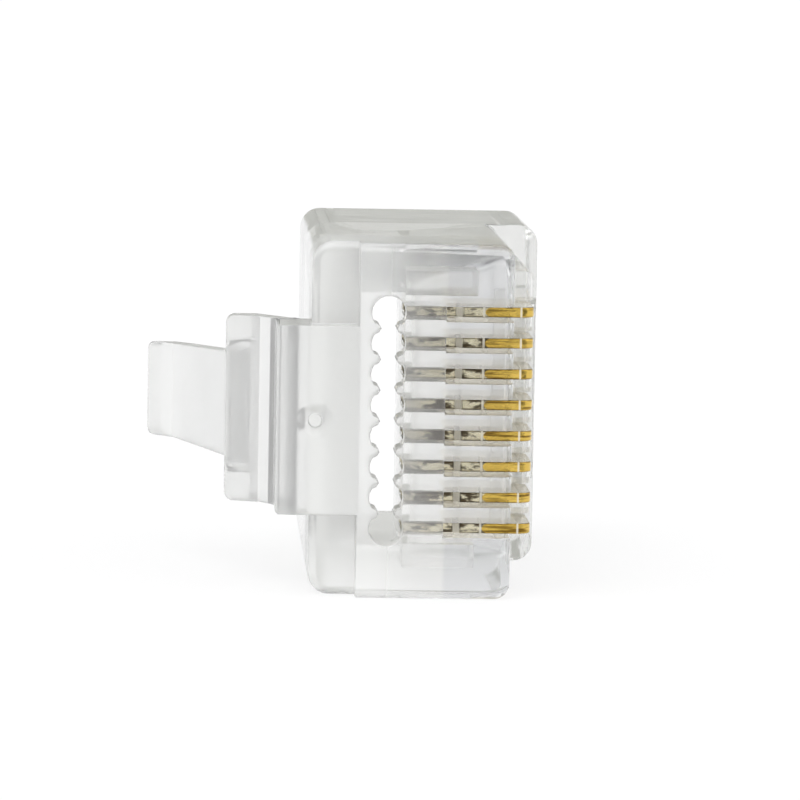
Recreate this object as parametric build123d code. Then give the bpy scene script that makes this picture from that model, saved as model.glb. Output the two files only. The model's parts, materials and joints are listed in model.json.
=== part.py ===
"""Clear eight-way modular plug, before crimping, lying on one narrow side.

Millimetres. X runs across the plug's height: the latch is on the -X side and the contacts on the +X side.
Y runs from the nose to the cable end. Z runs across the plug's width, up from the side that it lies on.
While it is built, X is 0 at the latch-side face and Y is 0 at the nose. At the end every piece is moved so
that the origin is under the middle of the whole plug.
"""
from build123d import *
import math
import os

# Housing, outer form
BODY_LENGTH = 21.5
BODY_WIDTH = 11.68
NOSE_HEIGHT = 6.6
REAR_HEIGHT = 8.0
REAR_START = 12.0
LATCH_CORNER_RADIUS = 0.7
NOSE_CORNER_RADIUS = 0.5
REAR_CORNER_RADIUS = 0.65
NOSE_EDGE_RADIUS = 0.35
CABLE_END_RADIUS = 0.2

# Band on the latch side of the nose, set back from the nose face
BAND_HEIGHT = 1.55
BAND_SETBACK = 1.0
BAND_EDGE_RADIUS = 0.3

# Comb of bars between the contacts
COMB_START = 3.4
COMB_HEIGHT = 7.4
COMB_END_BAR = 1.25
COMB_EDGE_RADIUS = 0.3

# Contacts
CONTACT_COUNT = 8
CONTACT_SIDE_MARGIN = 2.284
CONTACT_THICKNESS = 0.34
CONTACT_FRONT = 0.95
CONTACT_LENGTH = 3.3
CONTACT_TOP = 7.3
CONTACT_FOOT = 3.08
CROWN_FRONT_RADIUS = 0.5
CROWN_REAR_RADIUS = 0.35
HEAD_BOTTOM = 4.98
HEAD_CHAMFER = 0.225
NECK_SETBACK = 0.3
TOOTH_ROOT = 4.2
TOOTH_COUNT = 3
TOOTH_GAP = 0.42
TOOTH_POINT_HEIGHT = 0.45
TOOTH_TIP_WIDTH = 0.16
BARB_BOTTOM = 4.45
BARB_HEIGHT = 0.28
BARB_LENGTH = 0.6

# Slots that hold the contacts, and the grooves open to the nose above them
SLOT_SIDE_CLEARANCE = 0.07
SLOT_END_CLEARANCE = 0.05
BARB_CLEARANCE = 0.02
GROOVE_FLOOR = 4.38
GROOVE_END = 6.8

# Wire holes through the nose wall, the channel behind them and the pockets beside the slots
HOLE_DIAMETER = 1.12
HOLE_HEIGHT = 2.51
RIDGE_OPENING = 0.55
RIDGE_RADIUS = 0.17
NOSE_WALL = 1.6
CHANNEL_DROP = 0.35
CHANNEL_END_MARGIN = 0.08
CHANNEL_END = 9.0
FUNNEL_MOUTH_RISE = 0.4
FUNNEL_CORNER_RADIUS = 0.25
POCKET_TOP = 5.45
POCKET_WALL = 0.93
POCKET_BAR = 0.3
POCKET_END = 5.2

# Cable cavity
CAVITY_START = 12.8
CAVITY_LATCH_WALL = 0.8
CAVITY_CONTACT_WALL = 0.9
CAVITY_SIDE_WALL = 0.7
CAVITY_CORNER_RADIUS = 0.45

# Strain-relief bar in its window on the contact side, and the shallow window over the wires
WINDOW_START = 13.6
WINDOW_REAR_RIM = 3.3
WINDOW_WIDTH = 6.1
BAR_FRONT_GAP = 0.4
BAR_SIDE_GAP = 0.3
BAR_DEPTH = 2.85
BAR_FRONT_RAKE = 0.3
BAR_FOOT_LENGTH = 1.0
WIRE_WINDOW_START = 9.4
WIRE_WINDOW_LENGTH = 1.5
WIRE_WINDOW_WIDTH = 8.0
WIRE_WINDOW_DEPTH = 1.2

# Latch root block on the nose, with the round mark of the mould's gate
ROOT_WIDTH = 6.22
ROOT_REACH = 1.12
ROOT_EDGE_RADIUS = 0.15
GATE_RADIUS = 0.65
GATE_DEPTH = 0.12
GATE_PIP_RADIUS = 0.22
GATE_PIP_SETBACK = 0.03
GATE_HEIGHT = 0.15

# Latch lever: strap, catch with its two shoulders, and finger tab
HINGE_REACH = 0.77
HINGE_Y = 3.33
HINGE_CLEARANCE = 0.04
STRAP_THICKNESS = 0.68
STRAP_ANGLE = 32.0
CATCH_START = 4.06
CATCH_TOP_START = 4.55
CATCH_END = 5.5
CATCH_REACH = 2.75
CATCH_CORNER_RADIUS = 0.3
TAB_ANGLE = 19.5
TAB_THICKNESS = 0.72
TAB_WIDTH = 3.25
TAB_ROOT_WIDTH = 3.6
TAB_ROOT_RADIUS = 0.5
TAB_BEND = 11.2
TAB_END = 12.4
TIP_ANGLE = 36.0
TIP_CORNER_RADIUS = 0.28

# Places worked out from the sizes above
MID_Z = BODY_WIDTH / 2
CONTACT_SPAN = BODY_WIDTH - 2 * CONTACT_SIDE_MARGIN
CONTACT_PITCH = CONTACT_SPAN / (CONTACT_COUNT - 1)
CONTACT_Z = [CONTACT_SIDE_MARGIN + index * CONTACT_PITCH for index in range(CONTACT_COUNT)]
CONTACT_END = CONTACT_FRONT + CONTACT_LENGTH
SLOT_WIDTH = CONTACT_THICKNESS + 2 * SLOT_SIDE_CLEARANCE
CHANNEL_FLOOR = HOLE_HEIGHT - HOLE_DIAMETER / 2 - CHANNEL_DROP
CHANNEL_CEILING = HOLE_HEIGHT + HOLE_DIAMETER / 2
CHANNEL_WIDTH = CONTACT_SPAN + HOLE_DIAMETER + 2 * CHANNEL_END_MARGIN
CAVITY_CEILING = REAR_HEIGHT - CAVITY_CONTACT_WALL
WINDOW_END = BODY_LENGTH - WINDOW_REAR_RIM
STRAP_RADIUS = STRAP_THICKNESS / 2
PAST = 1.0


def block(x_range, y_range, z_range):
    """A box between two values on each axis."""
    low = Vector(x_range[0], y_range[0], z_range[0])
    high = Vector(x_range[1], y_range[1], z_range[1])
    size = high - low
    return Pos(low.X, low.Y, low.Z) * Box(size.X, size.Y, size.Z, align=(Align.MIN, Align.MIN, Align.MIN))


def across(width):
    """The Z range of something as wide as this, in the middle of the plug."""
    return (MID_Z - width / 2, MID_Z + width / 2)


def side_prism(face, z_range):
    """A side outline, drawn in X and Y, carried across the width."""
    return Pos(0, 0, z_range[0]) * extrude(face, z_range[1] - z_range[0])


def rounded_face(x_range, z_range, low_radius, high_radius, y):
    """A rounded rectangle across the plug at this distance from the nose.

    The two corners at the low end of the X range have one radius, and the two at the high end the other.
    """
    low_x, high_x = x_range
    corners = [(low_x, -z_range[0]), (high_x, -z_range[0]), (high_x, -z_range[1]), (low_x, -z_range[1])]
    face = make_face(Polyline(*corners, close=True))
    face = fillet(face.vertices().group_by(Axis.X)[0], low_radius)
    face = fillet(face.vertices().group_by(Axis.X)[-1], high_radius)
    return Plane(origin=(0, y, 0), x_dir=(1, 0, 0), z_dir=(0, 1, 0)) * face


def edges_at_y(shape, y):
    """The edges that lie in the plane at this distance from the nose."""
    return shape.edges().filter_by_position(Axis.Y, y, y, inclusive=(True, True))


def make_outer_body():
    """Nose block and taller rear body, with the band stepped back from the nose on the latch side."""
    width = (0, BODY_WIDTH)
    nose_face = rounded_face((0, NOSE_HEIGHT), width, LATCH_CORNER_RADIUS, NOSE_CORNER_RADIUS, 0)
    nose = extrude(nose_face, REAR_START)
    nose = fillet(edges_at_y(nose, 0), NOSE_EDGE_RADIUS)
    nose -= block((-PAST, BAND_HEIGHT), (-PAST, BAND_SETBACK), (-PAST, BODY_WIDTH + PAST))
    band_edges = edges_at_y(nose, BAND_SETBACK).filter_by(lambda edge: edge.center().X < BAND_HEIGHT - 0.01)
    nose = fillet(band_edges, BAND_EDGE_RADIUS)
    rear_face = rounded_face((0, REAR_HEIGHT), width, LATCH_CORNER_RADIUS, REAR_CORNER_RADIUS, REAR_START)
    rear = extrude(rear_face, BODY_LENGTH - REAR_START)
    rear = fillet(edges_at_y(rear, BODY_LENGTH), CABLE_END_RADIUS)
    return nose + rear


def make_comb():
    """The raised block on the contact side that the slots divide into bars."""
    width = CONTACT_SPAN + 2 * COMB_END_BAR
    comb = block((POCKET_TOP, COMB_HEIGHT), (COMB_START, REAR_START + CABLE_END_RADIUS), across(width))
    top = comb.faces().sort_by(Axis.X)[-1]
    rims = top.edges().sort_by(Axis.Y)[:-1]
    return fillet(rims, COMB_EDGE_RADIUS)


def make_latch_root():
    """The block on the nose that carries the latch, with the seat that the lever bends in."""
    root = block((-ROOT_REACH, BAND_HEIGHT), (0, HINGE_Y), across(ROOT_WIDTH))
    outer = root.faces().sort_by(Axis.X)[0]
    root = fillet(outer.edges().sort_by(Axis.Y)[:-1], ROOT_EDGE_RADIUS)
    root -= Pos(GATE_HEIGHT, 0, MID_Z) * make_gate_mark()
    seat_radius = STRAP_RADIUS + HINGE_CLEARANCE
    room = across(ROOT_WIDTH + 2 * PAST)
    hinge = Pos(-HINGE_REACH, HINGE_Y, MID_Z)
    seat = hinge * Cylinder(seat_radius, room[1] - room[0])
    strap_room = block((-seat_radius, seat_radius), (0, CATCH_REACH), (room[0] - MID_Z, room[1] - MID_Z))
    return root - seat - hinge * Rot(Z=STRAP_ANGLE) * strap_room


def make_gate_mark():
    """The hollow of the gate mark: a shallow round dish with a flat pip left standing in the middle."""
    dish_radius = (GATE_RADIUS ** 2 + GATE_DEPTH ** 2) / (2 * GATE_DEPTH)
    dish = Pos(0, GATE_DEPTH - dish_radius, 0) * Sphere(dish_radius)
    pip = Rot(X=90) * Cylinder(GATE_PIP_RADIUS, dish_radius)
    return dish - Pos(0, GATE_PIP_SETBACK + dish_radius / 2, 0) * pip


def make_wire_space():
    """The channel behind the holes, the pockets beside the slots, the funnel and the cable cavity."""
    z_range = across(CHANNEL_WIDTH)
    space = block((CHANNEL_FLOOR, CHANNEL_CEILING), (NOSE_WALL, CHANNEL_END + PAST), z_range)
    slots_edge = CONTACT_Z[0] - SLOT_WIDTH / 2 - POCKET_BAR
    for z_low, z_high in ((POCKET_WALL, slots_edge), (BODY_WIDTH - slots_edge, BODY_WIDTH - POCKET_WALL)):
        space += block((CHANNEL_CEILING, POCKET_TOP), (NOSE_WALL, POCKET_END), (z_low, z_high))
    mouth_range = (CHANNEL_FLOOR, CHANNEL_CEILING + FUNNEL_MOUTH_RISE)
    mouth = rounded_face(mouth_range, z_range, FUNNEL_CORNER_RADIUS, FUNNEL_CORNER_RADIUS, CHANNEL_END)
    cavity_x = (CAVITY_LATCH_WALL, CAVITY_CEILING)
    cavity_z = (CAVITY_SIDE_WALL, BODY_WIDTH - CAVITY_SIDE_WALL)
    end = rounded_face(cavity_x, cavity_z, CAVITY_CORNER_RADIUS, CAVITY_CORNER_RADIUS, CAVITY_START)
    space += loft([mouth, end])
    return space + extrude(end, BODY_LENGTH + PAST - CAVITY_START)


def make_wire_holes():
    """The row of round holes in the nose wall, which run together, with a rounded ridge between each two."""
    depth = NOSE_WALL + 2 * PAST
    hole = Rot(X=90) * Cylinder(HOLE_DIAMETER / 2, depth)
    middle_y = NOSE_WALL + PAST - depth / 2
    holes = Part()
    for z in CONTACT_Z:
        holes += Pos(HOLE_HEIGHT, middle_y, z) * hole
    ridge = Rot(X=90) * Cylinder(RIDGE_RADIUS, depth)
    ridge_reach = RIDGE_OPENING / 2 + RIDGE_RADIUS
    for z in CONTACT_Z[:-1]:
        for x in (HOLE_HEIGHT - ridge_reach, HOLE_HEIGHT + ridge_reach):
            holes -= Pos(x, middle_y, z + CONTACT_PITCH / 2) * ridge
    return holes


def make_contact_slots():
    """A deep slot for each contact, with a shallower groove that is open to the nose."""
    slots = Part()
    top = COMB_HEIGHT + PAST
    for z in CONTACT_Z:
        z_range = (z - SLOT_WIDTH / 2, z + SLOT_WIDTH / 2)
        slot_y = (CONTACT_FRONT - SLOT_END_CLEARANCE, CONTACT_END + SLOT_END_CLEARANCE)
        slots += block((HOLE_HEIGHT, top), slot_y, z_range)
        slots += block((GROOVE_FLOOR, top), (-PAST, GROOVE_END), z_range)
    return slots


def make_windows():
    """The window of the strain-relief bar, and the shallow window over the wires."""
    window = block((CAVITY_CEILING - PAST, REAR_HEIGHT + PAST), (WINDOW_START, WINDOW_END),
                   across(WINDOW_WIDTH))
    wire_top = COMB_HEIGHT + PAST
    wire_y = (WIRE_WINDOW_START, WIRE_WINDOW_START + WIRE_WINDOW_LENGTH)
    return window + block((COMB_HEIGHT - WIRE_WINDOW_DEPTH, wire_top), wire_y, across(WIRE_WINDOW_WIDTH))


def make_strain_relief_bar():
    """The wedge that a crimping tool presses onto the cable, joined to the housing at its rear edge."""
    front = WINDOW_START + BAR_FRONT_GAP
    foot = REAR_HEIGHT - BAR_DEPTH
    points = [(REAR_HEIGHT, front), (foot, front + BAR_FRONT_RAKE), (foot, front + BAR_FOOT_LENGTH),
              (CAVITY_CEILING, WINDOW_END), (REAR_HEIGHT, WINDOW_END)]
    face = make_face(Polyline(*points, close=True))
    return side_prism(face, across(WINDOW_WIDTH - 2 * BAR_SIDE_GAP))


def make_housing():
    """The whole clear moulding apart from the lever."""
    housing = make_outer_body() + make_comb() + make_latch_root()
    housing -= make_wire_space()
    housing -= make_wire_holes()
    housing -= make_contact_slots()
    housing -= make_windows()
    return housing + make_strain_relief_bar()


def make_latch():
    """The lever: a strap from its round root to the catch, then the tab, which narrows and tips up."""
    slope = math.tan(math.radians(STRAP_ANGLE))
    tab_slope = math.tan(math.radians(TAB_ANGLE))
    tip_slope = math.tan(math.radians(TIP_ANGLE))
    hinge = Vector(-HINGE_REACH, HINGE_Y)
    side = Vector(math.cos(math.radians(STRAP_ANGLE)), math.sin(math.radians(STRAP_ANGLE))) * STRAP_RADIUS
    back = hinge + Vector(side.Y, -side.X)
    inner_root = hinge + side
    outer_root = hinge - side
    tab_depth = TAB_THICKNESS / math.cos(math.radians(TAB_ANGLE))
    inner_strap = Vector(inner_root.X - slope * (CATCH_END - inner_root.Y), CATCH_END)
    inner_bend = Vector(inner_strap.X - tab_slope * (TAB_BEND - CATCH_END), TAB_BEND)
    inner_tip = Vector(inner_bend.X - tip_slope * (TAB_END - TAB_BEND), TAB_END)
    outer_start = Vector(outer_root.X - slope * (CATCH_START - outer_root.Y), CATCH_START)
    depth = Vector(tab_depth, 0)
    points = [inner_root, inner_strap, inner_bend, inner_tip, inner_tip - depth, inner_bend - depth,
              inner_strap - depth, Vector(-CATCH_REACH, CATCH_END), Vector(-CATCH_REACH, CATCH_TOP_START),
              outer_start, outer_root]
    outline = Polyline(*points) + ThreePointArc(outer_root, back, inner_root)
    lever = side_prism(make_face(outline), across(ROOT_WIDTH))
    return lever & make_latch_plan() & make_latch_front()


def make_latch_plan():
    """The lever's outline seen from the latch side, carried along X."""
    half_root = TAB_ROOT_WIDTH / 2
    half_tab = TAB_WIDTH / 2
    half_strap = ROOT_WIDTH / 2
    right = [(HINGE_Y - PAST, half_strap), (CATCH_END, half_strap), (CATCH_END, half_root),
             (TAB_BEND, half_tab), (TAB_END, half_tab)]
    left = [(y, -z) for y, z in reversed(right)]
    face = make_face(Polyline(*right, *left, close=True))
    tip = face.vertices().filter_by(lambda corner: corner.X > TAB_END - 0.01)
    face = fillet(tip, TIP_CORNER_RADIUS)
    roots = face.vertices().filter_by(
        lambda corner: abs(corner.X - CATCH_END) < 0.01 and abs(corner.Y) < half_strap - 0.01)
    face = fillet(roots, TAB_ROOT_RADIUS)
    reach = BODY_LENGTH
    return extrude(Plane(origin=(-reach, 0, MID_Z), x_dir=(0, 1, 0), z_dir=(1, 0, 0)) * face, 2 * reach)


def make_latch_front():
    """The lever's outline seen from the nose, which rounds the corners of the catch."""
    half_tab = TAB_ROOT_WIDTH / 2 + TAB_ROOT_RADIUS
    half_strap = ROOT_WIDTH / 2
    right = [(PAST, half_strap), (-CATCH_REACH, half_strap), (-CATCH_REACH, half_tab), (-BODY_LENGTH, half_tab)]
    left = [(x, -z) for x, z in reversed(right)]
    face = make_face(Polyline(*right, *left, close=True))
    corners = face.vertices().filter_by(
        lambda corner: abs(corner.X + CATCH_REACH) < 0.01 and abs(corner.Y) > half_strap - 0.01)
    face = fillet(corners, CATCH_CORNER_RADIUS)
    return extrude(Plane(origin=(0, 0, MID_Z), x_dir=(1, 0, 0), z_dir=(0, 1, 0)) * face, BODY_LENGTH)


def contact_outline():
    """The stamped blade: rounded crown, head, set-back neck and pointed teeth."""
    neck_y = CONTACT_FRONT + NECK_SETBACK
    pitch = (CONTACT_END - neck_y + TOOTH_GAP) / TOOTH_COUNT
    tooth_width = pitch - TOOTH_GAP
    half_tip = TOOTH_TIP_WIDTH / 2
    shoulder = CONTACT_FOOT + TOOTH_POINT_HEIGHT
    points = [(HEAD_BOTTOM, CONTACT_FRONT), (CONTACT_TOP, CONTACT_FRONT), (CONTACT_TOP, CONTACT_END)]
    for index in reversed(range(TOOTH_COUNT)):
        low = neck_y + index * pitch
        middle = low + tooth_width / 2
        if index < TOOTH_COUNT - 1:
            points.append((TOOTH_ROOT, low + tooth_width))
        points += [(shoulder, low + tooth_width), (CONTACT_FOOT, middle + half_tip),
                   (CONTACT_FOOT, middle - half_tip), (shoulder, low)]
        if index > 0:
            points.append((TOOTH_ROOT, low))
    points.append((HEAD_BOTTOM - HEAD_CHAMFER, neck_y))
    face = make_face(Polyline(*points, close=True))
    crown = face.vertices().filter_by(lambda corner: corner.X > CONTACT_TOP - 0.01).sort_by(Axis.Y)
    face = fillet(crown[0], CROWN_FRONT_RADIUS)
    rear = face.vertices().filter_by(lambda corner: corner.X > CONTACT_TOP - 0.01).sort_by(Axis.Y)[-1]
    return fillet(rear, CROWN_REAR_RADIUS)


def make_contact(z):
    """One blade, with a small barb on each face that grips the sides of its slot."""
    blade = side_prism(contact_outline(), (z - CONTACT_THICKNESS / 2, z + CONTACT_THICKNESS / 2))
    half_barb = SLOT_WIDTH / 2 - BARB_CLEARANCE
    barb_y = CONTACT_FRONT + NECK_SETBACK
    barb = block((BARB_BOTTOM, BARB_BOTTOM + BARB_HEIGHT), (barb_y, barb_y + BARB_LENGTH),
                 (z - half_barb, z + half_barb))
    return blade + barb


pieces = {"housing": make_housing(), "latch": make_latch()}
for number, contact_z in enumerate(CONTACT_Z, start=1):
    pieces[f"contact_{number}"] = make_contact(contact_z)

boxes = [piece.bounding_box() for piece in pieces.values()]
low_x = min(box.min.X for box in boxes)
high_x = max(box.max.X for box in boxes)
to_origin = Pos(-(low_x + high_x) / 2, -BODY_LENGTH / 2, 0)

os.makedirs("parts", exist_ok=True)
for name, piece in pieces.items():
    export_step(to_origin * piece, f"parts/{name}.step")
hinge_place = to_origin * Pos(-HINGE_REACH, HINGE_Y, MID_Z)
print("latch hinge at", [round(value, 5) for value in hinge_place.position])
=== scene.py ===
"""Looks of a clear eight-way modular plug that lies on one narrow side.

Everything is in metres in the plug's own frame: +Y runs from the nose to the cable end, +X from the latch
side to the contact side, and +Z up across the plug's width, from the floor. Sizes in the classes are
millimetres.
"""
from __future__ import annotations

import json
import logging
import math
from dataclasses import dataclass
from enum import Enum

import bmesh
import bpy
import numpy as np
from mathutils import Matrix, Vector

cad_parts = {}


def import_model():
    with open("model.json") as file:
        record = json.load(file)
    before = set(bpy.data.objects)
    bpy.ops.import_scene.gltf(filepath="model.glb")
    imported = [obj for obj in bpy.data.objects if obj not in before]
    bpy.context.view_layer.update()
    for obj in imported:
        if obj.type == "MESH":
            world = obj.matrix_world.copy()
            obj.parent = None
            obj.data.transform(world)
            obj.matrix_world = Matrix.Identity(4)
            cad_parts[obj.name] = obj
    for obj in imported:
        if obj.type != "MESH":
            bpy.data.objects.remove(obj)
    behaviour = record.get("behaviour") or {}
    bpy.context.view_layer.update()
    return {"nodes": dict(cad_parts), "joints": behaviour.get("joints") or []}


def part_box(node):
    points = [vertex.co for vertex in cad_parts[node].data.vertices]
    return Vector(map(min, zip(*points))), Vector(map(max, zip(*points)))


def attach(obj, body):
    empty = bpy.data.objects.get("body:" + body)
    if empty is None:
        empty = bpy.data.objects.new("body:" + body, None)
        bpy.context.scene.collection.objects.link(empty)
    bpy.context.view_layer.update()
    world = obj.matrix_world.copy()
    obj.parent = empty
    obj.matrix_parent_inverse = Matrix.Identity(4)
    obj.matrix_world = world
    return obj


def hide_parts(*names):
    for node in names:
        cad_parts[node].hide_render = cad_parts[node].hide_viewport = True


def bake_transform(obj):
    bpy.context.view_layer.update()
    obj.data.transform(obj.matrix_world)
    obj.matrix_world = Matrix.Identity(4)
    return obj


LOG = logging.getLogger("modular_plug")
MM = 0.001

Tree = bpy.types.NodeTree
Node = bpy.types.Node
Socket = bpy.types.NodeSocket
Colour = tuple[float, float, float]
Span = tuple[float, float]
Levels = tuple[tuple[float, float], ...]

WHITE = (1.0, 1.0, 1.0, 1.0)
# The colour sockets of Blender's mix node stand behind those of its other kinds of data.
MIX_SHARE, MIX_FIRST, MIX_SECOND, MIX_RESULT = 0, 6, 7, 2


class Body(Enum):
    """The two bodies that pieces ride on."""

    PLUG = "plug_body"
    LEVER = "latch_lever"


class Slot(Enum):
    """The material slots of the record."""

    PLASTIC = "clear_plastic"
    METAL = "contact_metal"


def new_nodes(owner: bpy.types.Material | bpy.types.World) -> Tree:
    """Empties the owner's node tree and returns it.

    Args:
        owner: the material or world whose nodes are made.

    Returns:
        Its node tree, with no node in it.
    """
    owner.use_nodes = True
    owner.node_tree.nodes.clear()
    return owner.node_tree


def add(tree: Tree, kind: str, **settings: object) -> Node:
    """Adds one node and sets its properties and unlinked sockets.

    Args:
        tree: the node tree.
        kind: the node's Blender type.
        settings: property names, or socket names with underscores for spaces, with their values.

    Returns:
        The new node.
    """
    node = tree.nodes.new(kind)
    for name, value in settings.items():
        if hasattr(node, name):
            setattr(node, name, value)
        else:
            node.inputs[name.replace("_", " ")].default_value = value
    return node


def axes_of(tree: Tree, vector: Socket) -> bpy.types.bpy_prop_collection:
    """Splits a vector.

    Args:
        tree: the node tree.
        vector: the socket that holds it.

    Returns:
        The sockets of its three parts, by the names X, Y and Z.
    """
    split = add(tree, "ShaderNodeSeparateXYZ")
    tree.links.new(vector, split.inputs[0])
    return split.outputs


def ramp(tree: Tree, value: Socket, stops: list[tuple[float, Colour]]) -> Socket:
    """Adds a colour that follows a value.

    Args:
        tree: the node tree.
        value: the value, from 0 to 1.
        stops: value and colour of each stop, in order.

    Returns:
        The socket that holds the colour.
    """
    node = add(tree, "ShaderNodeValToRGB")
    tree.links.new(value, node.inputs["Fac"])
    elements = node.color_ramp.elements
    while len(elements) < len(stops):
        elements.new(1.0)
    for element, (place, colour) in zip(elements, stops):
        element.position = place
        element.color = (*colour, 1.0)
    return node.outputs["Color"]


def step_between(tree: Tree, value: Socket, start: float, end: float, low: float = 0.0,
                 high: float = 1.0) -> Socket:
    """Adds a smooth step of a value.

    Args:
        tree: the node tree.
        value: the value that is tested.
        start: where the step starts.
        end: where it ends.
        low: the result before the step.
        high: the result after it.

    Returns:
        The socket that holds the result.
    """
    node = add(tree, "ShaderNodeMapRange", interpolation_type="SMOOTHSTEP", From_Min=start, From_Max=end,
               To_Min=low, To_Max=high)
    tree.links.new(value, node.inputs["Value"])
    return node.outputs["Result"]


def step_at(tree: Tree, place: Socket, span_mm: Span) -> Socket:
    """Adds a smooth step between two places along an axis.

    Args:
        tree: the node tree.
        place: the point's place along the axis.
        span_mm: where the step starts and ends, in millimetres.

    Returns:
        The socket that holds 0 before the step and 1 after it.
    """
    start_mm, end_mm = span_mm
    return step_between(tree, place, start_mm * MM, end_mm * MM)


def maths(tree: Tree, kind: str, *terms: Socket | float) -> Socket:
    """Adds one arithmetic node.

    Args:
        tree: the node tree.
        kind: the arithmetic that is done.
        terms: the sockets and numbers that go in, in order.

    Returns:
        The socket that holds the result.
    """
    node = add(tree, "ShaderNodeMath", operation=kind)
    for place, term in zip(node.inputs, terms):
        if isinstance(term, Socket):
            tree.links.new(term, place)
        else:
            place.default_value = term
    return node.outputs[0]


def between(tree: Tree, share: Socket, first: float, second: float) -> Socket:
    """Adds a number that goes evenly from one value to another.

    Args:
        tree: the node tree.
        share: how much of the second value counts.
        first: the value at share 0.
        second: the value at share 1.

    Returns:
        The socket that holds the number.
    """
    return maths(tree, "MULTIPLY_ADD", share, second - first, first)


def blend_of(tree: Tree, share: Socket, first: Socket | Colour, second: Socket | Colour) -> Socket:
    """Adds a mix of two colours.

    Args:
        tree: the node tree.
        share: how much of the second colour shows.
        first: the first colour, as a socket or as red, green and blue.
        second: the second colour, likewise.

    Returns:
        The socket that holds the colour.
    """
    node = add(tree, "ShaderNodeMix", data_type="RGBA")
    tree.links.new(share, node.inputs[MIX_SHARE])
    for place, colour in ((node.inputs[MIX_FIRST], first), (node.inputs[MIX_SECOND], second)):
        if isinstance(colour, Socket):
            tree.links.new(colour, place)
        else:
            place.default_value = (*colour, 1.0)
    return node.outputs[MIX_RESULT]


def layered(tree: Tree, share: Socket, first: Node, second: Node) -> Node:
    """Adds a mix of two shaders.

    Args:
        tree: the node tree.
        share: how much of the second shader shows.
        first: the shader at share 0.
        second: the shader at share 1.

    Returns:
        The node of the mixed shader.
    """
    node = add(tree, "ShaderNodeMixShader")
    tree.links.new(share, node.inputs["Fac"])
    tree.links.new(first.outputs[0], node.inputs[1])
    tree.links.new(second.outputs[0], node.inputs[2])
    return node


def show_through(tree: Tree) -> Socket:
    """Adds a value that is 1 for rays that see a backdrop: from the camera, a reflection or clear plastic.

    Args:
        tree: the node tree of the floor.

    Returns:
        The socket that holds the value.
    """
    rays = add(tree, "ShaderNodeLightPath").outputs
    outside = maths(tree, "MAXIMUM", rays["Is Camera Ray"], rays["Is Glossy Ray"])
    return maths(tree, "MAXIMUM", outside, rays["Is Transmission Ray"])


def front_light(tree: Tree, axes: bpy.types.bpy_prop_collection, levels: Levels) -> Socket:
    """Adds how bright the studio is in each direction in front of the plug's nose; on the floor it sets the
    painted shade of mirror rays.

    Args:
        tree: the node tree of the floor or the world.
        axes: the direction's three parts.
        levels: brightness at shares of the half turn from -X by way of -Y to +X.

    Returns:
        The socket that holds the brightness as a grey.
    """
    turn = maths(tree, "ARCTAN2", axes["X"], maths(tree, "MULTIPLY", axes["Y"], -1.0))
    around = maths(tree, "MULTIPLY_ADD", turn, 1.0 / math.pi, 0.5)
    return ramp(tree, around, [(share, (level,) * 3) for share, level in levels])


@dataclass(frozen=True)
class Grain:
    """A fine pattern in a surface: how fine and how drawn out it is, and how much it is felt."""

    scale: float
    detail: float = 2.0
    roughness: float = 0.5
    stretch: Colour = (1.0, 1.0, 1.0)
    relief: float = 0.0
    relief_mm: float = 0.1

    def pattern(self, tree: Tree, place: Socket) -> Socket:
        """Adds the pattern.

        Args:
            tree: the node tree.
            place: the point's place on the object.

        Returns:
            The socket that holds its value.
        """
        drawn = add(tree, "ShaderNodeMapping", Scale=self.stretch)
        tree.links.new(place, drawn.inputs["Vector"])
        noise = add(tree, "ShaderNodeTexNoise", Scale=self.scale, Detail=self.detail, Roughness=self.roughness)
        tree.links.new(drawn.outputs["Vector"], noise.inputs["Vector"])
        return noise.outputs["Fac"]

    def feel(self, tree: Tree, pattern: Socket, shader: Node) -> None:
        """Lets the pattern's relief turn the light on a shader.

        Args:
            tree: the node tree.
            pattern: the pattern's value.
            shader: the shader.
        """
        bump = add(tree, "ShaderNodeBump", Strength=self.relief, Distance=self.relief_mm * MM)
        tree.links.new(pattern, bump.inputs["Height"])
        tree.links.new(bump.outputs["Normal"], shader.inputs["Normal"])


@dataclass(frozen=True)
class LightPaths:
    """How often light may bounce: many times, because it passes wall after wall of clear plastic."""

    in_all: int = 32
    through_plastic: int = 24
    mirrored: int = 12

    def set_up(self) -> None:
        """Gives the numbers to the scene."""
        paths = bpy.context.scene.cycles
        paths.max_bounces = self.in_all
        paths.transmission_bounces = self.through_plastic
        paths.glossy_bounces = self.mirrored


@dataclass(frozen=True)
class PhotoCamera:
    """The photograph's viewpoint, found by fitting the plug's known sizes to the picture."""

    place_mm: tuple[float, float, float] = (-5.88, -210.75, 23.36)
    yaw_deg: float = 2.14
    pitch_deg: float = -4.80
    roll_deg: float = 1.00
    focal_px: float = 6163.0
    image_px: float = 800.0
    sensor_mm: float = 36.0
    nearest_mm: float = 10.0
    farthest_mm: float = 20000.0

    def set_up(self) -> bpy.types.Object:
        """Makes the camera, looking along +Y with a small yaw, pitch and roll."""
        data = bpy.data.cameras.new("camera")
        data.sensor_width = self.sensor_mm
        data.lens = self.sensor_mm * self.focal_px / self.image_px
        data.clip_start = self.nearest_mm * MM
        data.clip_end = self.farthest_mm * MM
        camera = placed("camera", data)
        yaw, pitch, roll = (math.radians(angle) for angle in (self.yaw_deg, self.pitch_deg, self.roll_deg))
        forward = Vector((math.sin(yaw) * math.cos(pitch), math.cos(yaw) * math.cos(pitch), math.sin(pitch)))
        level = Vector((math.cos(yaw), -math.sin(yaw), 0.0))
        upright = level.cross(forward)
        right = level * math.cos(roll) + upright * math.sin(roll)
        up = upright * math.cos(roll) - level * math.sin(roll)
        turn = Matrix((right, up, -forward)).transposed()
        camera.matrix_world = Matrix.Translation(Vector(self.place_mm) * MM) @ turn.to_4x4()
        bpy.context.scene.camera = camera
        return camera


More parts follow.
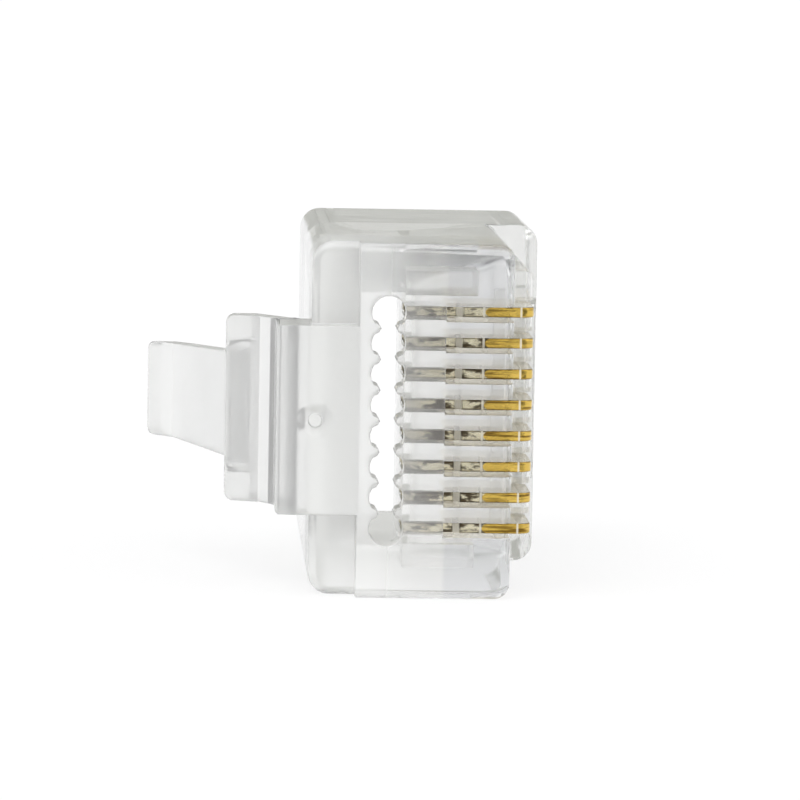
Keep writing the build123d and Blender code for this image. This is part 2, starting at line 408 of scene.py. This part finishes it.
@dataclass(frozen=True)
class SoftLamp:
    """A broad soft lamp, far away, so that it lights the whole floor evenly."""

    name: str
    azimuth_deg: float
    elevation_deg: float
    spread_deg: float
    strength: float

    def set_up(self) -> bpy.types.Object:
        """Makes the lamp, shining at the plug from its azimuth and elevation."""
        data = bpy.data.lights.new(self.name, "SUN")
        data.energy = self.strength
        data.angle = math.radians(self.spread_deg)
        lamp = placed(self.name, data)
        around, up = math.radians(self.azimuth_deg), math.radians(self.elevation_deg)
        source = Vector((math.sin(around) * math.cos(up), -math.cos(around) * math.cos(up), math.sin(up)))
        lamp.rotation_mode = "QUATERNION"
        lamp.rotation_quaternion = source.to_track_quat("Z", "Y")
        lamp.location = source
        return lamp


@dataclass(frozen=True)
class StudioWorld:
    """A grey studio with a white screen at each side and a dim front, and plain white for the camera.

    Heights and widths are shares of the way from the plug's level to straight up, or to straight sideways.
    """

    horizon: Colour = (0.54, 0.545, 0.51)
    overhead: Colour = (0.75, 0.76, 0.78)
    screens: Colour = (1.0, 1.0, 1.0)
    horizon_to: float = 0.25
    overhead_from: float = 0.7
    screen_edge: Span = (0.45, 0.85)
    front_gain: float = 1.6
    front: Levels = ((0.0, 0.62), (0.25, 0.62), (0.32, 1.0), (0.52, 1.0), (0.56, 0.75), (0.645, 0.62),
                     (0.67, 0.31), (0.83, 0.31), (0.87, 0.62))

    def set_up(self) -> bpy.types.World:
        """Makes the world: the camera sees white, and other rays see the grey studio."""
        world = bpy.data.worlds.new("studio")
        bpy.context.scene.world = world
        tree = new_nodes(world)
        axes = axes_of(tree, add(tree, "ShaderNodeTexCoord").outputs["Generated"])
        shade = ramp(tree, axes["Z"], [(0.0, self.horizon), (self.horizon_to, self.horizon),
                                       (self.overhead_from, self.overhead), (1.0, self.overhead)])
        screen = step_between(tree, maths(tree, "ABSOLUTE", axes["X"]), *self.screen_edge)
        lit = blend_of(tree, screen, shade, self.screens)
        gained = add(tree, "ShaderNodeVectorMath", operation="SCALE", Scale=self.front_gain)
        tree.links.new(front_light(tree, axes, self.front), gained.inputs[0])
        dimmed = add(tree, "ShaderNodeVectorMath", operation="MULTIPLY")
        tree.links.new(lit, dimmed.inputs[0])
        tree.links.new(gained.outputs[0], dimmed.inputs[1])
        studio = add(tree, "ShaderNodeBackground", Strength=1.0)
        tree.links.new(dimmed.outputs[0], studio.inputs["Color"])
        white = add(tree, "ShaderNodeBackground", Color=WHITE, Strength=1.0)
        shown = layered(tree, add(tree, "ShaderNodeLightPath").outputs["Is Camera Ray"], studio, white)
        output = add(tree, "ShaderNodeOutputWorld")
        tree.links.new(shown.outputs[0], output.inputs["Surface"])
        return world


@dataclass(frozen=True)
class PaperFloor:
    """A wide sheet of white paper, part matte and part plain white, so that it keeps the plug's shadow.

    Mirrored in the plug, the part in front of the nose is painted dark with distance, in bands, as shade for
    the metal to mirror.
    """

    radius_mm: float = 4000.0
    rim_points: int = 96
    give_mm: float = 0.03
    colour: Colour = (0.93, 0.93, 0.93)
    plain_white: float = 0.82
    # Painted shade seen only in reflections: from this distance on, the paper in front of the nose goes dark in
    # these bands.
    dim_mm: Span = (20.0, 110.0)
    front: Levels = ((0.0, 1.0), (0.3, 1.0), (0.38, 0.1), (0.52, 0.1), (0.54, 1.0), (0.645, 1.0), (0.67, 0.0),
                     (0.83, 0.0), (0.87, 1.0))
    tooth: Grain = Grain(scale=900.0, detail=3.0, relief=0.05)

    def material(self) -> bpy.types.Material:
        """Matte paper with a faint tooth, a share of plain white where it is a background, and painted shade in
        mirror rays in front of the nose.
        """
        paper = bpy.data.materials.new("white_paper")
        tree = new_nodes(paper)
        place = add(tree, "ShaderNodeTexCoord").outputs["Object"]
        matte = add(tree, "ShaderNodeBsdfDiffuse", Color=(*self.colour, 1.0))
        self.tooth.feel(tree, self.tooth.pattern(tree, place), matte)
        plain = add(tree, "ShaderNodeEmission", Color=WHITE, Strength=1.0)
        sheet = layered(tree, maths(tree, "MULTIPLY", show_through(tree), self.plain_white), matte, plain)
        # Painted shade: mirror rays see the paper in front of the nose dark.
        far = add(tree, "ShaderNodeVectorMath", operation="LENGTH")
        tree.links.new(place, far.inputs[0])
        reach = step_at(tree, far.outputs["Value"], self.dim_mm)
        mirrored = maths(tree, "MULTIPLY", reach, add(tree, "ShaderNodeLightPath").outputs["Is Glossy Ray"])
        level = front_light(tree, axes_of(tree, place), self.front)
        reflection_shade = maths(tree, "MULTIPLY", mirrored, maths(tree, "SUBTRACT", 1.0, level))
        dimmed = layered(tree, reflection_shade, sheet, add(tree, "ShaderNodeEmission", Strength=0.0))
        output = add(tree, "ShaderNodeOutputMaterial")
        tree.links.new(dimmed.outputs[0], output.inputs["Surface"])
        return paper

    def set_up(self) -> bpy.types.Object:
        """Makes the floor: a fan of triangles about the middle, pressed a little round the plug's flat side."""
        angles = np.linspace(0.0, 2.0 * np.pi, self.rim_points, endpoint=False)
        rim = np.stack([np.cos(angles), np.sin(angles), np.zeros_like(angles)], axis=1) * self.radius_mm * MM
        index = np.arange(self.rim_points)
        fan = np.stack([np.full_like(index, self.rim_points), index, np.roll(index, -1)], axis=1)
        mesh = bpy.data.meshes.new("floor")
        mesh.from_pydata(np.vstack([rim, np.zeros((1, 3))]).tolist(), [], fan.tolist())
        mesh.materials.append(self.material())
        floor = placed("floor", mesh)
        floor.location.z = self.give_mm * MM
        return floor


@dataclass(frozen=True)
class ClearPolycarbonate:
    """Clear moulded polycarbonate: polished outside, with a faint haze and the soft waves of a moulding.

    The nose's latch half and the lever are a little matte, and the comb's front is tinted grey as painted
    shade.
    """

    middle_mm: float
    ior: float = 1.585
    roughness: float = 0.09
    tint: Colour = (0.975, 0.975, 0.97)
    murk: Colour = (0.50, 0.51, 0.47)
    murk_per_m: float = 26.0
    clear_share: float = 0.94
    waves: Grain = Grain(scale=320.0, relief=0.3)
    matte_roughness: float = 0.2
    matte_clear_share: float = 0.66
    matte_below_mm: Span = (3.0, 0.4)
    matte_before_mm: Span = (-4.5, -7.0)
    lever_below_mm: Span = (-2.2, -2.9)
    # Grey painted on the comb's front between the contacts: painted shade.
    comb_painted_shade: Colour = (0.78, 0.79, 0.82)
    comb_above_mm: Span = (3.0, 3.2)
    comb_before_mm: Span = (-9.3, -10.0)
    # The slot walls' warm see-through share is a painted reflection of the blades, which real walls mirror
    # there.
    slots_before_mm: Span = (-3.5, -3.9)
    slots_within_mm: Span = (4.2, 3.9)
    wall_slope: Span = (0.9, 0.97)
    slot_reflection_share: float = 0.6
    slot_reflection_tint: Colour = (0.95, 0.92, 0.84)

    def matte_part(self, tree: Tree, axes: bpy.types.bpy_prop_collection) -> Socket:
        """Adds a value that is 1 where the plastic is matte: the nose's latch half and the lever.

        Args:
            tree: the node tree.
            axes: the point's place along the three axes.

        Returns:
            The socket that holds the value.
        """
        low = step_at(tree, axes["X"], self.matte_below_mm)
        nose = step_at(tree, axes["Y"], self.matte_before_mm)
        lever = step_at(tree, axes["X"], self.lever_below_mm)
        return maths(tree, "MAXIMUM", maths(tree, "MULTIPLY", low, nose), lever)

    def comb_front(self, tree: Tree, axes: bpy.types.bpy_prop_collection) -> Socket:
        """Adds a value that is 1 at the front of the comb between the contacts, where the grey painted shade
        goes.

        Args:
            tree: the node tree.
            axes: the point's place along the three axes.

        Returns:
            The socket that holds the value.
        """
        upper = step_at(tree, axes["X"], self.comb_above_mm)
        front = step_at(tree, axes["Y"], self.comb_before_mm)
        return maths(tree, "MULTIPLY", upper, front)

    def slot_wall_reflection(self, tree: Tree, normal: Socket, axes: bpy.types.bpy_prop_collection) -> Socket:
        """Adds a value that is 1 on the walls of the contacts' slots, where a warm see-through share is painted
        as the blades' reflection.

        Args:
            tree: the node tree.
            normal: the way that the surface faces.
            axes: the point's place along the three axes.

        Returns:
            The socket that holds the value.
        """
        level = step_between(tree, maths(tree, "ABSOLUTE", axes_of(tree, normal)["Z"]), *self.wall_slope)
        upper = step_at(tree, axes["X"], self.comb_above_mm)
        ahead = step_at(tree, axes["Y"], self.slots_before_mm)
        aside = maths(tree, "ABSOLUTE", maths(tree, "SUBTRACT", axes["Z"], self.middle_mm * MM))
        within = step_at(tree, aside, self.slots_within_mm)
        return maths(tree, "MULTIPLY", maths(tree, "MULTIPLY", level, upper),
                     maths(tree, "MULTIPLY", ahead, within))

    def material(self) -> bpy.types.Material:
        """Refracting plastic with shallow waves, whose slot walls are partly see-through in a warm tint, a
        painted reflection of the blades.
        """
        plastic = bpy.data.materials.new("clear_polycarbonate")
        tree = new_nodes(plastic)
        place = add(tree, "ShaderNodeTexCoord").outputs
        axes = axes_of(tree, place["Object"])
        matte = self.matte_part(tree, axes)
        # Painted shade: the comb's front is tinted grey.
        tint = blend_of(tree, self.comb_front(tree, axes), self.tint, self.comb_painted_shade)
        surface = add(tree, "ShaderNodeBsdfPrincipled", IOR=self.ior)
        for name, value in (("Base Color", tint),
                            ("Roughness", between(tree, matte, self.roughness, self.matte_roughness)),
                            ("Transmission Weight",
                             between(tree, matte, self.clear_share, self.matte_clear_share))):
            tree.links.new(value, surface.inputs[name])
        self.waves.feel(tree, self.waves.pattern(tree, place["Object"]), surface)
        # Painted reflection: the slot walls are partly see-through in a warm tint, standing for the blades that
        # real walls mirror.
        through = add(tree, "ShaderNodeBsdfTransparent", Color=(*self.slot_reflection_tint, 1.0))
        walls = self.slot_wall_reflection(tree, place["Normal"], axes)
        shown = layered(tree, maths(tree, "MULTIPLY", walls, self.slot_reflection_share), surface, through)
        murk = add(tree, "ShaderNodeVolumeAbsorption", Color=(*self.murk, 1.0), Density=self.murk_per_m)
        output = add(tree, "ShaderNodeOutputMaterial")
        tree.links.new(shown.outputs[0], output.inputs["Surface"])
        tree.links.new(murk.outputs[0], output.inputs["Volume"])
        return plastic


@dataclass(frozen=True)
class PaintedHighlight:
    """A painted highlight: a pale strip across a blade's front edge, fixed in the colour where the light
    catches it.
    """

    start_mm: float
    end_mm: float
    fade_mm: float
    level: float

    def stops(self) -> list[tuple[float, float]]:
        """Place and strength at the strip's four corners: dark, full, full and dark."""
        return [(self.start_mm, 0.0), (self.start_mm + self.fade_mm, self.level),
                (self.end_mm - self.fade_mm, self.level), (self.end_mm, 0.0)]


@dataclass(frozen=True)
class PlatedBronze:
    """Stamped bronze with nickel plating, and gold on the outer part that meets the jack's springs.

    The distance from a blade's middle is squared and counted from 0 there to 1 at its two flat sides.
    """

    first_mm: float
    pitch_mm: float
    half_thickness_mm: float = 0.17
    # dark stains the nickel and brown streaks the gold; both also colour the painted shade at the rims.
    gold: Colour = (0.73, 0.51, 0.115)
    brown: Colour = (0.22, 0.125, 0.02)
    nickel: Colour = (0.74, 0.69, 0.53)
    dark: Colour = (0.08, 0.06, 0.035)
    # The plain colour of the blades' flat sides, which also colours the painted highlights.
    side: Colour = (0.92, 0.88, 0.78)
    gold_from_mm: Span = (4.36, 4.40)
    meniscus_mm: float = 0.17
    stains: Grain = Grain(scale=2600.0, detail=4.0, roughness=0.6, stretch=(0.6, 1.0, 1.7), relief=0.5,
                          relief_mm=0.06)
    stained: Span = (0.46, 0.6)
    streaks: Grain = Grain(scale=4200.0, detail=3.0, roughness=0.55, stretch=(0.12, 0.2, 2.0))
    streaked: Span = (0.5, 0.66)
    # Darker rims across each blade: painted shade along its edges, partly also burnish.
    rim: Span = (0.35, 0.9)
    rim_shade_share: float = 0.75
    beside: Span = (0.93, 0.99)
    # Painted highlights: pale strips across each blade's front edge, fixed in the colour.
    highlights_within_mm: Span = (3.0, 6.0)
    strips: tuple[PaintedHighlight, ...] = (PaintedHighlight(3.4275, 3.66, 0.03, 1.0), PaintedHighlight(4.29, 4.38, 0.015, 0.8),
                                     PaintedHighlight(5.514, 5.601, 0.021, 0.7))
    side_dullness: float = 0.35
    highlight_dullness: float = 0.85
    rough_pattern: Span = (0.2, 0.8)
    roughness: Span = (0.1, 0.25)

    def off_middle(self, tree: Tree, height: Socket) -> Socket:
        """Adds how far a point is from the middle of its blade: 0 there, and 1 at the blade's two sides.

        Args:
            tree: the node tree.
            height: the point's height.

        Returns:
            The socket that holds the square of the distance.
        """
        steps = maths(tree, "MULTIPLY_ADD", height, 1.0 / (self.pitch_mm * MM),
                      0.5 - self.first_mm / self.pitch_mm)
        scale = self.pitch_mm / self.half_thickness_mm
        across = maths(tree, "MULTIPLY_ADD", maths(tree, "FRACT", steps), scale, -0.5 * scale)
        return maths(tree, "MULTIPLY", across, across)

    def plating(self, tree: Tree, place: Socket, off: Socket, stains: Socket) -> Socket:
        """Adds the colour: stained nickel, then streaked gold with a bowed edge, both darker at the rims as
        painted shade, partly also burnish.

        Args:
            tree: the node tree.
            place: the point's place on the object.
            off: how far the point is from its blade's middle.
            stains: the pattern of the stains.

        Returns:
            The socket that holds the colour.
        """
        bowed = maths(tree, "MULTIPLY_ADD", off, -self.meniscus_mm * MM, axes_of(tree, place)["X"])
        gilded = step_at(tree, bowed, self.gold_from_mm)
        nickel = blend_of(tree, step_between(tree, stains, *self.stained), self.nickel, self.dark)
        streaked = step_between(tree, self.streaks.pattern(tree, place), *self.streaked)
        gold = blend_of(tree, streaked, self.gold, self.brown)
        # Painted shade at the rims: the nickel goes dark and the gold goes brown.
        rim = step_between(tree, off, *self.rim, 0.0, self.rim_shade_share)
        return blend_of(tree, rim, blend_of(tree, gilded, nickel, gold),
                        blend_of(tree, gilded, self.dark, self.brown))

    def painted_highlights(self, tree: Tree, along: Socket) -> Socket:
        """Adds the painted highlights: pale strips at the blade's step, at the gold's start and below the
        crown.

        Args:
            tree: the node tree.
            along: the point's place along X.

        Returns:
            The socket that holds their strength.
        """
        start_mm, end_mm = self.highlights_within_mm
        length_mm = end_mm - start_mm
        corners = [corner for strip in self.strips for corner in strip.stops()]
        stops = [(0.0, (0.0,) * 3)]
        stops += [((x_mm - start_mm) / length_mm, (level,) * 3) for x_mm, level in corners]
        share = maths(tree, "MULTIPLY_ADD", along, 1.0 / (length_mm * MM), -start_mm / length_mm)
        return ramp(tree, share, stops)

    def material(self) -> bpy.types.Material:
        """Plated metal, plain and duller on the blades' flat sides and on the painted highlight strips."""
        metal = bpy.data.materials.new("plated_bronze")
        tree = new_nodes(metal)
        place = add(tree, "ShaderNodeTexCoord").outputs["Object"]
        axes = axes_of(tree, place)
        off = self.off_middle(tree, axes["Z"])
        stains = self.stains.pattern(tree, place)
        beside = step_between(tree, off, *self.beside)
        # Painted highlights: the pale strips take the side colour and a duller finish.
        strips = self.painted_highlights(tree, axes["X"])
        plain = maths(tree, "MAXIMUM", beside, strips)
        dull = maths(tree, "MAXIMUM", maths(tree, "MULTIPLY", beside, self.side_dullness),
                     maths(tree, "MULTIPLY", strips, self.highlight_dullness))
        colour = blend_of(tree, plain, self.plating(tree, place, off, stains), self.side)
        surface = add(tree, "ShaderNodeBsdfPrincipled")
        for name, value in (("Base Color", colour), ("Metallic", maths(tree, "SUBTRACT", 1.0, dull)),
                            ("Roughness", step_between(tree, stains, *self.rough_pattern, *self.roughness))):
            tree.links.new(value, surface.inputs[name])
        self.stains.feel(tree, stains, surface)
        output = add(tree, "ShaderNodeOutputMaterial")
        tree.links.new(surface.outputs[0], output.inputs["Surface"])
        return metal


def placed(name: str, data: bpy.types.ID) -> bpy.types.Object:
    """Makes an object in the scene.

    Args:
        name: its name.
        data: its mesh, lamp or camera.

    Returns:
        The object, at the origin.
    """
    thing = bpy.data.objects.new(name, data)
    bpy.context.scene.collection.objects.link(thing)
    return thing


def merged_copy(source: bpy.types.Object, name: str, weld_mm: float = 0.0005,
                flat_deg: float = 0.2) -> bpy.types.Mesh:
    """Copies a CAD node's mesh in millimetres, joins its loose triangles and melts its flat faces together.

    Args:
        source: the CAD node.
        name: the copy's name.
        weld_mm: the distance within which corners are one.
        flat_deg: the turn up to which neighbouring faces are one flat face.

    Returns:
        The copy, which is closed.
    """
    work = bmesh.new()
    work.from_mesh(source.data)
    bmesh.ops.scale(work, vec=(1 / MM,) * 3, verts=work.verts)
    bmesh.ops.remove_doubles(work, verts=work.verts, dist=weld_mm)
    bmesh.ops.dissolve_limit(work, angle_limit=math.radians(flat_deg), verts=work.verts, edges=work.edges)
    mesh = bpy.data.meshes.new(name)
    work.to_mesh(mesh)
    work.free()
    return mesh


def joined_solids(meshes: list[bpy.types.Mesh]) -> bpy.types.Mesh:
    """Unites closed solids into one.

    Args:
        meshes: the solids, in millimetres.

    Returns:
        The mesh of the one solid, in millimetres.
    """
    base, *others = (placed(mesh.name, mesh) for mesh in meshes)
    for other in others:
        union = base.modifiers.new("union", "BOOLEAN")
        union.operation = "UNION"
        union.solver = "EXACT"
        union.object = other
    graph = bpy.context.evaluated_depsgraph_get()
    mesh = bpy.data.meshes.new_from_object(base.evaluated_get(graph))
    for helper in (base, *others):
        bpy.data.objects.remove(helper)
    return mesh


@dataclass(frozen=True)
class SoftCorners:
    """Which corners of a smooth-shaded piece are real, and how wide they are rounded.

    An edge is a corner where it turns by more than the crease angle, or by more than a little between two flat
    faces. A flat face is wide for its length; the narrow strips beside it are the steps of a rounded edge.
    """

    flat_width_mm: float
    corner_mm: float
    crease_deg: float = 33.0
    flat_turn_deg: float = 8.0
    segments: int = 2

    def mark(self, mesh: bpy.types.Mesh) -> None:
        """Shades a piece smooth and marks its real corners sharp.

        Args:
            mesh: the mesh, in millimetres.
        """
        work = bmesh.new()
        work.from_mesh(mesh)
        width = {face: face.calc_area() / max(edge.calc_length() for edge in face.edges)
                 for face in work.faces}
        for face in work.faces:
            face.smooth = True
        for edge in work.edges:
            turn = math.degrees(edge.calc_face_angle(math.pi))
            both_flat = all(width[face] > self.flat_width_mm for face in edge.link_faces)
            edge.smooth = not (turn > self.crease_deg or (both_flat and turn > self.flat_turn_deg))
        work.to_mesh(mesh)
        work.free()

    def rounded(self, mesh: bpy.types.Mesh) -> bpy.types.Mesh:
        """Rounds every marked corner a little and leaves the flat faces flat.

        Args:
            mesh: the mesh, in millimetres, whose corners are its sharp edges.

        Returns:
            A new mesh with all its edges smooth.
        """
        sharp = np.ones(len(mesh.edges), bool)
        mesh.attributes["sharp_edge"].data.foreach_get("value", sharp)
        weight = mesh.attributes.new("bevel_weight_edge", "FLOAT", "EDGE")
        weight.data.foreach_set("value", sharp.astype(np.float32))
        mesh.attributes["sharp_edge"].data.foreach_set("value", np.zeros(len(sharp), bool))
        holder = placed("soften", mesh)
        bevel = holder.modifiers.new("soft_corner", "BEVEL")
        bevel.limit_method = "WEIGHT"
        bevel.width = self.corner_mm
        bevel.segments = self.segments
        bevel.use_clamp_overlap = False
        weights = holder.modifiers.new("face_weights", "WEIGHTED_NORMAL")
        weights.keep_sharp = True
        graph = bpy.context.evaluated_depsgraph_get()
        soft = bpy.data.meshes.new_from_object(holder.evaluated_get(graph))
        bpy.data.objects.remove(holder)
        return soft


def keep_in_box(mesh: bpy.types.Mesh, boxes: list[tuple[Vector, Vector]]) -> None:
    """Squeezes a mesh by the few hundredths of a millimetre that its rounding pushed out of the CAD's box.

    Args:
        mesh: the mesh, in metres.
        boxes: lowest and highest corner of each CAD node that the mesh stands for.
    """
    corners = np.array([[list(corner) for corner in box] for box in boxes])
    low, high = corners[:, 0].min(axis=0), corners[:, 1].max(axis=0)
    points = np.empty(len(mesh.vertices) * 3, np.float32)
    mesh.vertices.foreach_get("co", points)
    own_low, own_high = (edge(points.reshape(-1, 3), axis=0) for edge in (np.min, np.max))
    new_low, new_high = np.maximum(own_low, low), np.minimum(own_high, high)
    scale = (new_high - new_low) / (own_high - own_low)
    shift = new_low - own_low * scale
    mesh.transform(Matrix.Translation(Vector(shift)) @ Matrix.Diagonal((*scale, 1.0)))


def dressed(mesh: bpy.types.Mesh, name: str, nodes: list[str], corners: SoftCorners,
            finish: bpy.types.Material) -> bpy.types.Object:
    """Rounds a mesh's corners, turns it into metres and gives it its one finish.

    Args:
        mesh: the mesh, in millimetres.
        name: the piece's name.
        nodes: the CAD nodes that it stands for, whose box it keeps to.
        corners: how its corners are rounded.
        finish: its material.

    Returns:
        The piece.
    """
    corners.mark(mesh)
    soft = corners.rounded(mesh)
    soft.name = name
    soft.transform(Matrix.Scale(MM, 4))
    keep_in_box(soft, [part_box(node) for node in nodes])
    soft.materials.clear()
    soft.materials.append(finish)
    soft.polygons.foreach_set("material_index", np.zeros(len(soft.polygons), int))
    return placed(name, soft)


@dataclass(frozen=True)
class ClearMoulding:
    """Housing and lever as the one moulding that they are, joined at the lever's root."""

    hinge_mm: Span
    root_face_mm: float
    strap_half_mm: float = 0.33
    seat_half_mm: float = 0.384
    strap_angle_deg: float = 32.0
    taper_mm: float = 0.6
    cap_inset_mm: float = 0.02
    back_points: int = 25
    root_fillet_mm: float = 0.5
    fillet_points: int = 6
    bend_from_mm: float = -2.44
    bend_to_mm: float = -3.35
    corners: SoftCorners = SoftCorners(flat_width_mm=0.4, corner_mm=0.03)

    def outer_fillet(self, strap_point: np.ndarray) -> np.ndarray:
        """Finds the hollow curve between the root's outer face and the strap's outer side.

        The curve is a parabola that leaves the face and meets the strap along their own lines: start, corner
        and end, weighted by the squared rest, twice rest times share, and the squared share of the way.

        Args:
            strap_point: a point on the strap's outer side.

        Returns:
            The curve's points from the root, where it starts a little inside, to the strap.
        """
        angle = math.radians(self.strap_angle_deg)
        along = np.array([-math.sin(angle), math.cos(angle)])
        corner = strap_point + along * (self.root_face_mm - strap_point[0]) / along[0]
        start = corner - np.array([0.0, self.root_fillet_mm])
        end = corner + along * self.root_fillet_mm
        shares = np.linspace(0.0, 1.0, self.fillet_points + 1)[1:, None]
        curve = start * (1 - shares) ** 2 + corner * 2 * shares * (1 - shares) + end * shares ** 2
        inside = start + np.array([self.cap_inset_mm, -self.cap_inset_mm])
        return np.vstack([inside, curve])

    def filler_outline(self) -> np.ndarray:
        """Draws the filler as it is seen along the plug's width.

        Its back is a half circle of the seat's radius about the hinge. From there its sides taper straight to
        the strap's two sides, and the whole is turned to the strap's angle. The fillet fills the outer corner.

        Returns:
            The outline's points across and along the plug, in millimetres.
        """
        angle = math.radians(self.strap_angle_deg)
        turns = np.linspace(0.0, -np.pi, self.back_points)
        back = np.stack([np.cos(turns), np.sin(turns)], axis=1) * self.seat_half_mm
        front = np.array([[-self.strap_half_mm, self.taper_mm], [self.strap_half_mm, self.taper_mm]])
        spin = np.array([[math.cos(angle), -math.sin(angle)], [math.sin(angle), math.cos(angle)]])
        outline = np.vstack([back, front]) @ spin.T + np.array(self.hinge_mm)
        return np.vstack([outline[:-2], self.outer_fillet(outline[-2]), outline[-2:]])

    def root_filler(self, lever: bpy.types.Object) -> bpy.types.Mesh:
        """Fills the thin seat gap at the lever's root: its outline, drawn out along the plug's width.

        Args:
            lever: the CAD node of the lever, whose width the filler takes.

        Returns:
            The filler, in millimetres.
        """
        low, high = (corner.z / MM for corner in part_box(lever.name))
        outline = self.filler_outline()
        count = len(outline)
        rings = [np.column_stack([outline, np.full(count, height)])
                 for height in (low + self.cap_inset_mm, high - self.cap_inset_mm)]
        index = np.arange(count)
        after = np.roll(index, -1)
        sides = np.stack([index, after, count + after, count + index], axis=1)
        caps = [index.tolist(), (index + count)[::-1].tolist()]
        mesh = bpy.data.meshes.new("root_filler")
        mesh.from_pydata(np.vstack(rings).tolist(), [], [*sides.tolist(), *caps])
        work = bmesh.new()
        work.from_mesh(mesh)
        bmesh.ops.recalc_face_normals(work, faces=work.faces)
        work.to_mesh(mesh)
        work.free()
        return mesh

    def build(self, nodes: dict[str, bpy.types.Object], finish: bpy.types.Material) -> bpy.types.Object:
        """Unites the CAD housing and lever and shades the curved faces smooth.

        Args:
            nodes: the CAD nodes.
            finish: the clear plastic.

        Returns:
            The moulding, one solid with the lever.
        """
        solid = joined_solids([merged_copy(nodes["housing"], "housing_copy"), self.root_filler(nodes["latch"]),
                               merged_copy(nodes["latch"], "lever_copy")])
        moulding = dressed(solid, "clear_moulding", ["housing", "latch"], self.corners, finish)
        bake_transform(moulding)
        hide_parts("housing", "latch")
        return moulding


@dataclass(frozen=True)
class ContactRow:
    """The eight stamped blades, with the rounded edges that stamping leaves."""

    count: int = 8
    corners: SoftCorners = SoftCorners(flat_width_mm=0.12, corner_mm=0.05)

    def blade(self, node: bpy.types.Object, name: str, finish: bpy.types.Material) -> bpy.types.Object:
        """Makes one blade from its CAD node.

        Args:
            node: the CAD node.
            name: the blade's name.
            finish: the plated metal.

        Returns:
            The blade, which stands for its node.
        """
        blade = dressed(merged_copy(node, f"{name}_copy"), name, [node.name], self.corners, finish)
        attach(blade, Body.PLUG.value)
        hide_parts(node.name)
        return blade

    def build(self, nodes: dict[str, bpy.types.Object], finish: bpy.types.Material) -> list[bpy.types.Object]:
        """Makes every blade.

        Args:
            nodes: the CAD nodes.
            finish: the plated metal.

        Returns:
            The blades.
        """
        return [self.blade(nodes[f"contact_{number}"], f"blade_{number}", finish)
                for number in range(1, self.count + 1)]


def middle_mm(name: str) -> Vector:
    """The middle of a CAD node's box, in millimetres."""
    low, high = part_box(name)
    return (low + high) / (2 * MM)


def set_up_studio() -> None:
    """Makes the camera, the backdrop, the floor and the two lamps."""
    bpy.context.scene.view_settings.view_transform = "Standard"
    LightPaths().set_up()
    PhotoCamera().set_up()
    StudioWorld().set_up()
    PaperFloor().set_up()
    SoftLamp("key_lamp", azimuth_deg=-35.0, elevation_deg=55.0, spread_deg=40.0, strength=1.15).set_up()
    SoftLamp("fill_lamp", azimuth_deg=60.0, elevation_deg=35.0, spread_deg=60.0, strength=0.6).set_up()


def main() -> None:
    """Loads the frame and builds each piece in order."""
    logging.basicConfig(level=logging.INFO, format="%(name)s %(message)s")
    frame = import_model()
    set_up_studio()
    nodes = frame["nodes"]
    hinge_x, hinge_y, _ = frame["joints"][0]["pos_m"]
    root_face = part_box("housing")[0].x
    moulding = ClearMoulding((hinge_x / MM, hinge_y / MM), root_face / MM)
    plastic = ClearPolycarbonate(middle_mm("housing").z).material()
    first, second = (middle_mm(name).z for name in ("contact_1", "contact_2"))
    metal = PlatedBronze(first, second - first).material()
    for piece in (moulding.build(nodes, plastic), *ContactRow().build(nodes, metal)):
        LOG.info("piece %s: %d faces", piece.name, len(piece.data.polygons))


if __name__ == "__main__":
    main()
